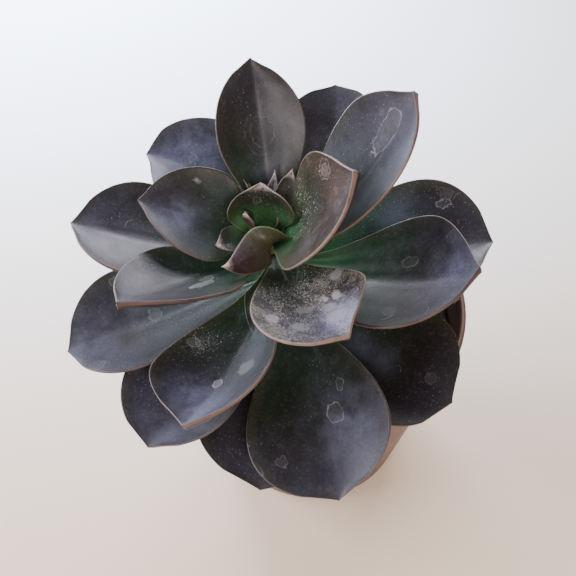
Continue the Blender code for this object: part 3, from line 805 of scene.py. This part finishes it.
def make_pot():
    lip_foot = POT_HEIGHT - LIP_HEIGHT
    neck = RIM_RADIUS - LIP_TAPER - LIP_STEP
    inner = RIM_RADIUS - POT_WALL
    half_wall = POT_WALL / 2
    ease = 0.5 * MM
    foot = FOOT_CHAMFER
    profile = [(0.0, POT_FLOOR), (BASE_RADIUS - POT_WALL - ease, POT_FLOOR)]
    profile += arc((BASE_RADIUS - POT_WALL - ease, POT_FLOOR + ease), ease, -90, 0, 3)[1:]
    profile += [(neck - POT_WALL, lip_foot - LIP_STEP), (inner - LIP_TAPER, lip_foot + LIP_STEP)]
    profile += arc((RIM_RADIUS - half_wall, POT_HEIGHT - half_wall), half_wall, 180, 0, 10)
    profile += [(RIM_RADIUS - 0.1 * MM, POT_HEIGHT - 2.5 * MM)]
    profile += arc((RIM_RADIUS - LIP_TAPER - ease, lip_foot + ease), ease, 0, -90, 4)
    profile += [(neck + ease / 2, lip_foot), (neck, lip_foot - ease / 2)]
    profile += arc((BASE_RADIUS - foot, foot), foot, 0, -90, 5)
    profile += [(0.0, 0.0)]
    points = [(r, 0.0, z) for r, z in profile]
    mesh = bpy.data.meshes.new("pot_fine")
    mesh.from_pydata(points, [(i, i + 1) for i in range(len(points) - 1)], [])
    pot = add_piece("pot_fine", mesh)
    turn = pot.modifiers.new("turn", "SCREW")
    turn.axis = "Z"
    turn.angle = 2 * math.pi
    turn.steps = POT_SIDES
    turn.render_steps = POT_SIDES
    turn.use_merge_vertices = True
    turn.merge_threshold = 0.00001
    cutters = []
    for i in range(DRAIN_COUNT):
        angle = 2 * math.pi * (i + 0.5) / DRAIN_COUNT
        at = (DRAIN_CIRCLE * math.cos(angle), DRAIN_CIRCLE * math.sin(angle), 0.0)
        bpy.ops.mesh.primitive_cylinder_add(
            vertices=32, radius=DRAIN_RADIUS, depth=4 * POT_FLOOR, location=at
        )
        cutters.append(bpy.context.object)
        cut = pot.modifiers.new("drain", "BOOLEAN")
        cut.operation = "DIFFERENCE"
        cut.solver = "EXACT"
        cut.object = cutters[-1]
    settle(pot)
    for cutter in cutters:
        bpy.data.objects.remove(cutter, do_unlink=True)
    outward(pot.data)
    pot.data.set_sharp_from_angle(angle=math.radians(35))
    pot.data.materials.append(moulded_pot_plastic())
    finish_piece(pot, "pot")


def make_stem(material):
    """A tube on the stem's line, ringed by the scars of leaves that fell."""
    rows, sides = 150, 40
    points = []
    for i in range(rows + 1):
        height = STEM_BOTTOM + (STEM_TOP - STEM_BOTTOM) * i / rows
        centre = stem_line(height)
        for k in range(sides):
            angle = 2 * math.pi * k / sides
            scar = math.exp(-(((height / (3.1 * MM) + k / sides) % 1.0 - 0.5) / 0.16) ** 2)
            bark = noise.noise(Vector((3 * math.cos(angle), 3 * math.sin(angle), height / (2 * MM))))
            radius = STEM_RADIUS + (0.10 * scar + 0.12 * bark - 0.12) * MM
            points.append((
                centre[0] + radius * math.cos(angle), centre[1] + radius * math.sin(angle), height
            ))
    mesh = bpy.data.meshes.new("stem_fine")
    mesh.from_pydata(points, [], tube_faces(rows + 1, sides))
    mesh.materials.append(material)
    finish_piece(add_piece("stem_fine", outward(mesh)), "stem")


def pot_inside(height):
    neck = RIM_RADIUS - LIP_TAPER - LIP_STEP - POT_WALL
    floor = BASE_RADIUS - POT_WALL
    lip_foot = POT_HEIGHT - LIP_HEIGHT - LIP_STEP
    return floor + (neck - floor) * min(1.0, (height - POT_FLOOR) / (lip_foot - POT_FLOOR))


def compost_top(x, y):
    lump = SOIL_LUMP * noise.noise(Vector((x, y, 0.0)) / LUMP_SPREAD)
    crumb = 0.7 * MM * noise.noise(Vector((x, y, 0.02)) / (2.2 * MM))
    return SOIL_TOP + lump + crumb


def make_soil(material, white):
    """The compost's body, then loose crumbs and perlite scattered over its top."""
    sides, rings = 120, 40
    levels = [POT_FLOOR + GAP, SOIL_TOP / 2, SOIL_TOP - 2.2 * MM]
    outer = pot_inside(SOIL_TOP - 3 * MM) - GAP
    turns = [2 * math.pi * k / sides for k in range(sides)]
    points = []
    for level in levels:
        radius = pot_inside(level) - GAP
        points += [(radius * math.cos(t), radius * math.sin(t), level) for t in turns]
    for i in range(rings):
        radius = outer * (1 - i / rings)
        spots = [(radius * math.cos(t), radius * math.sin(t)) for t in turns]
        points += [(x, y, compost_top(x, y)) for x, y in spots]
    faces = tube_faces(len(levels) + rings, sides)
    mesh = bpy.data.meshes.new("compost")
    mesh.from_pydata(points, [], faces)
    mesh.materials.append(material)
    finish_piece(add_piece("compost", outward(mesh)), "soil")

    bed = bpy.data.meshes.new("bed")
    bed.from_pydata(points, [], faces[sides * (len(levels) + 1):-2])
    for name, finish, count, small, large, seed in (
        ("loose_crumbs", material, 2600, 0.35 * MM, 1.1 * MM, 5),
        ("perlite", white, 60, 0.5 * MM, 1.3 * MM, 11),
    ):
        stone = crumb_shape(name + "_shape", seed)
        tree = scatter_tree(name, stone, finish)
        piece = add_piece(name, bed.copy())
        spread = piece.modifiers.new("scatter", "NODES")
        spread.node_group = tree
        wanted = {"Count": float(count), "Smallest": small, "Largest": large, "Seed": seed}
        for socket in tree.interface.items_tree:
            if socket.in_out == "INPUT" and socket.name in wanted:
                spread[socket.identifier] = wanted[socket.name]
        settle(piece)
        bpy.data.objects.remove(stone, do_unlink=True)
        bpy.data.node_groups.remove(tree)
        finish_piece(piece)


def crumb_shape(name, seed):
    """One angular crumb, unit sized."""
    work = bmesh.new()
    bmesh.ops.create_icosphere(work, subdivisions=1, radius=0.5)
    for vertex in work.verts:
        vertex.co *= 1 + 0.7 * noise.noise(vertex.co * 2.1 + Vector((seed, 0, 0)))
        vertex.co.z *= 0.7
    mesh = bpy.data.meshes.new(name)
    work.to_mesh(mesh)
    work.free()
    return add_piece(name, mesh)


def scatter_tree(name, stone, finish):
    """Geometry nodes: stones of random size and turn, spread over the faces of a bed."""
    tree = bpy.data.node_groups.new(name, "GeometryNodeTree")
    face = tree.interface
    face.new_socket("Geometry", in_out="INPUT", socket_type="NodeSocketGeometry")
    for label in ("Count", "Smallest", "Largest"):
        face.new_socket(label, in_out="INPUT", socket_type="NodeSocketFloat")
    face.new_socket("Seed", in_out="INPUT", socket_type="NodeSocketInt")
    face.new_socket("Geometry", in_out="OUTPUT", socket_type="NodeSocketGeometry")
    into = tree.nodes.new("NodeGroupInput").outputs
    area = math.pi * (RIM_RADIUS - LIP_STEP - POT_WALL) ** 2
    spread = put(
        tree, "GeometryNodeDistributePointsOnFaces",
        {"Mesh": into["Geometry"], "Density": maths(tree, "DIVIDE", into["Count"], area),
         "Seed": into["Seed"]},
    )
    shape = put(tree, "GeometryNodeObjectInfo", {"Object": stone}).outputs["Geometry"]
    size = put(
        tree, "FunctionNodeRandomValue",
        {2: into["Smallest"], 3: into["Largest"], "Seed": into["Seed"]}, data_type="FLOAT",
    ).outputs[1]
    turn = put(
        tree, "FunctionNodeRandomValue",
        {0: (0.0, 0.0, 0.0), 1: (6.28, 6.28, 6.28), "Seed": into["Seed"]}, data_type="FLOAT_VECTOR",
    ).outputs[0]
    laid = put(
        tree, "GeometryNodeInstanceOnPoints",
        {"Points": spread.outputs["Points"], "Instance": shape, "Rotation": turn, "Scale": size},
    ).outputs["Instances"]
    real = put(tree, "GeometryNodeRealizeInstances", {"Geometry": laid}).outputs["Geometry"]
    done = put(tree, "GeometryNodeSetMaterial", {"Geometry": real, "Material": finish})
    out = tree.nodes.new("NodeGroupOutput")
    tree.links.new(done.outputs["Geometry"], out.inputs["Geometry"])
    return tree


# Small litter of a real plant


def dry_scale_tissue():
    """Dead bracts: papery, pale pinkish grey with browner ends, matt."""
    material, tree, shader = new_material("dry_scale_tissue")
    place = put(tree, "ShaderNodeTexCoord").outputs["Object"]
    blotch = noise_at(tree, place, 700.0, 4.0)
    colour = blend(tree, between(tree, blotch, 0.35, 0.65), "#6f5e55", "#a89b93")
    tree.links.new(colour, shader.inputs["Base Color"])
    shader.inputs["Roughness"].default_value = 0.8
    roughen(tree, shader, blotch, 0.5, 0.1 * MM)
    return material


def cotton_lint():
    """Fluff from the air: off-white, matt."""
    material, tree, shader = new_material("cotton_lint")
    shader.inputs["Base Color"].default_value = linear("#a39f9a")
    shader.inputs["Roughness"].default_value = 0.9
    return material


def bent_line(points, rows):
    """Points along a smooth curve through three places."""
    first, middle, last = (np.array(p) * MM for p in points)
    hold = 2 * middle - (first + last) / 2
    share = np.linspace(0, 1, rows + 1)[:, None]
    return (1 - share) ** 2 * first + 2 * share * (1 - share) * hold + share ** 2 * last


def sweep(name, lines, sides):
    """Closed tapering tubes, flat or round: each line with a half width and a half depth in mm."""
    work = bmesh.new()
    for points, wide, deep, taper in lines:
        line = bent_line(points, 12)
        forward = np.gradient(line, axis=0)
        forward /= np.linalg.norm(forward, axis=1)[:, None]
        across = np.cross(forward, (0.0, -0.6, 0.8))
        across /= np.linalg.norm(across, axis=1)[:, None]
        out = np.cross(across, forward)
        ring = []
        for i, spot in enumerate(line):
            size = (1 - taper * (i / 12) ** 1.5) * MM
            for k in range(sides):
                turn = 2 * math.pi * k / sides
                ring.append(spot + (across[i] * wide * math.cos(turn) + out[i] * deep * math.sin(turn)) * size)
        mesh = bpy.data.meshes.new("part")
        mesh.from_pydata([tuple(p) for p in ring], [], tube_faces(13, sides))
        work.from_mesh(mesh)
        bpy.data.meshes.remove(mesh)
    mesh = bpy.data.meshes.new(name)
    work.to_mesh(mesh)
    work.free()
    return outward(mesh)


def make_scales(material):
    """Dead bracts standing behind the young leaf at the back of the heart."""
    tips = (
        ((-17.2, 5.2, 105.0), (-19.0, 7.0, 109.0), (-20.9, 7.6, 113.0), 0.60),
        ((-16.6, 5.6, 105.0), (-17.9, 8.0, 109.5), (-19.6, 8.8, 113.8), 0.45),
        ((-16.0, 5.8, 105.0), (-17.4, 8.6, 109.0), (-18.3, 8.6, 112.6), 0.50),
        ((-11.6, 5.4, 105.0), (-12.2, 8.0, 109.0), (-13.8, 8.8, 112.2), 0.65),
        ((-11.0, 5.0, 105.0), (-11.2, 7.6, 109.0), (-12.3, 8.3, 113.0), 0.55),
    )
    lines = [(tip[:3], tip[3], 0.09, 0.85) for tip in tips]
    mesh = sweep("dry_scales", lines, 8)
    mesh.materials.append(material)
    finish_piece(add_piece("dry_scales", mesh))


def fibre_tree(finish):
    """Geometry nodes: thin bent fibres lying on a surface, each of its own length and turn."""
    tree = bpy.data.node_groups.new("lint", "GeometryNodeTree")
    face = tree.interface
    face.new_socket("Geometry", in_out="INPUT", socket_type="NodeSocketGeometry")
    for label in ("Density", "Shortest", "Longest", "Thickness"):
        face.new_socket(label, in_out="INPUT", socket_type="NodeSocketFloat")
    face.new_socket("Seed", in_out="INPUT", socket_type="NodeSocketInt")
    face.new_socket("Geometry", in_out="OUTPUT", socket_type="NodeSocketGeometry")
    into = tree.nodes.new("NodeGroupInput").outputs
    spread = put(
        tree, "GeometryNodeDistributePointsOnFaces",
        {"Mesh": into["Geometry"], "Density": into["Density"], "Seed": into["Seed"]},
    )
    bend = put(
        tree, "GeometryNodeCurveQuadraticBezier",
        {"Resolution": 8, "Start": (-0.5, 0.0, 0.02), "Middle": (0.15, 0.30, 0.12),
         "End": (0.45, -0.12, 0.03)},
    ).outputs["Curve"]
    round_end = put(
        tree, "GeometryNodeCurvePrimitiveCircle", {"Resolution": 4, "Radius": into["Thickness"]}
    ).outputs["Curve"]
    fibre = put(
        tree, "GeometryNodeCurveToMesh", {"Curve": bend, "Profile Curve": round_end, "Fill Caps": True}
    ).outputs["Mesh"]
    size = put(
        tree, "FunctionNodeRandomValue",
        {2: into["Shortest"], 3: into["Longest"], "Seed": into["Seed"]}, data_type="FLOAT",
    ).outputs[1]
    spin = put(
        tree, "FunctionNodeRandomValue",
        {0: (0.0, 0.0, 0.0), 1: (0.0, 0.0, 6.28), "Seed": into["Seed"]}, data_type="FLOAT_VECTOR",
    ).outputs[0]
    turn = put(
        tree, "FunctionNodeRotateRotation",
        {"Rotation": spread.outputs["Rotation"], "Rotate By": spin}, rotation_space="LOCAL",
    ).outputs["Rotation"]
    laid = put(
        tree, "GeometryNodeInstanceOnPoints",
        {"Points": spread.outputs["Points"], "Instance": fibre, "Rotation": turn, "Scale": size},
    ).outputs["Instances"]
    real = put(tree, "GeometryNodeRealizeInstances", {"Geometry": laid}).outputs["Geometry"]
    done = put(tree, "GeometryNodeSetMaterial", {"Geometry": real, "Material": finish})
    out = tree.nodes.new("NodeGroupOutput")
    tree.links.new(done.outputs["Geometry"], out.inputs["Geometry"])
    return tree


def make_lint(material):
    """Short fibres on the leaves' upper faces, then two longer ones that the photo shows."""
    bed = bmesh.new()
    for leaf in ROSETTE:
        bed.from_mesh(bpy.data.objects[leaf.name + "_fine"].data)
    under = bed.verts.layers.float["under"]
    lower = [vertex for vertex in bed.verts if vertex[under] > 0.1 or vertex.normal.z < 0.2]
    bmesh.ops.delete(bed, geom=lower, context="VERTS")
    mesh = bpy.data.meshes.new("lint")
    bed.to_mesh(mesh)
    bed.free()
    mesh.materials.clear()
    piece = add_piece("lint", mesh)
    spread = piece.modifiers.new("scatter", "NODES")
    tree = fibre_tree(material)
    spread.node_group = tree
    wanted = {"Density": 2200.0, "Shortest": 1.2 * MM, "Longest": 3.4 * MM, "Thickness": 0.008,
              "Seed": 4}
    for socket in tree.interface.items_tree:
        if socket.in_out == "INPUT" and socket.name in wanted:
            spread[socket.identifier] = wanted[socket.name]
    settle(piece)
    bpy.data.node_groups.remove(tree)
    finish_piece(piece)
    threads = [
        (((-18.9, -12.8, 97.6), (-18.9, -20.0, 98.2), (-16.9, -27.0, 98.9)), 0.06, 0.06, 0.5),
        (((39.0, -2.4, 75.1), (40.3, -1.2, 75.5), (41.7, -0.9, 75.1)), 0.05, 0.05, 0.5),
    ]
    mesh = sweep("threads", threads, 6)
    mesh.materials.append(material)
    finish_piece(add_piece("threads", mesh))


# Camera, floor and light


def make_camera():
    data = bpy.data.cameras.new("camera")
    data.lens = LENS
    data.sensor_width = SENSOR
    data.clip_start = 0.01
    camera = bpy.data.objects.new("camera", data)
    camera.location = EYE
    camera.rotation_euler = (math.radians(90 - LOOK_DOWN), 0.0, 0.0)
    bpy.context.scene.collection.objects.link(camera)
    bpy.context.scene.camera = camera


def make_studio():
    bpy.ops.mesh.primitive_plane_add(size=6.0, location=(0.0, 0.0, -0.0002))
    floor = bpy.context.object
    floor.name = "floor"
    floor.data.materials.append(matt_studio_paper())
    world = bpy.data.worlds.new("soft_room")
    bpy.context.scene.world = world
    world.use_nodes = True
    room = world.node_tree.nodes["Background"]
    room.inputs["Color"].default_value = linear("#f2f0ee")
    room.inputs["Strength"].default_value = 0.27
    lamps = (
        # name, place, width, height, power, colour
        ("left_window", (-0.95, 0.15, 0.52), 1.00, 0.60, 24.0, "#eaecf4"),
        ("back_window", (0.05, 1.10, 0.55), 1.10, 0.60, 27.0, "#efeff5"),
        ("front_room", (0.10, -0.90, 0.80), 0.60, 0.50, 11.0, "#fff3e4"),
    )
    for name, place, width, height, power, colour in lamps:
        data = bpy.data.lights.new(name, "AREA")
        data.shape = "RECTANGLE"
        data.size = width
        data.size_y = height
        data.energy = power
        data.color = linear(colour)[:3]
        lamp = bpy.data.objects.new(name, data)
        lamp.location = place
        aim = Vector((0.0, 0.0, 0.09)) - Vector(place)
        lamp.rotation_euler = aim.to_track_quat("-Z", "Y").to_euler()
        bpy.context.scene.collection.objects.link(lamp)
    glow = bpy.data.lights.new("floor_glow", "SPOT")
    glow.energy = 190.0
    glow.color = linear("#c8deff")[:3]
    glow.spot_size = math.radians(54)
    glow.spot_blend = 1.0
    glow.shadow_soft_size = 0.15
    lamp = bpy.data.objects.new("floor_glow", glow)
    lamp.location = (-0.30, 0.62, 0.55)
    aim = Vector((-0.18, 0.38, 0.0)) - lamp.location
    lamp.rotation_euler = aim.to_track_quat("-Z", "Y").to_euler()
    bpy.context.scene.collection.objects.link(lamp)


make_camera()
skin = waxy_leaf_skin()
make_leaves(skin)
make_heart(skin)
make_scales(dry_scale_tissue())
make_lint(cotton_lint())
make_stem(corky_stem_bark())
make_soil(crumbly_compost(), pale_perlite())
make_pot()
make_studio()
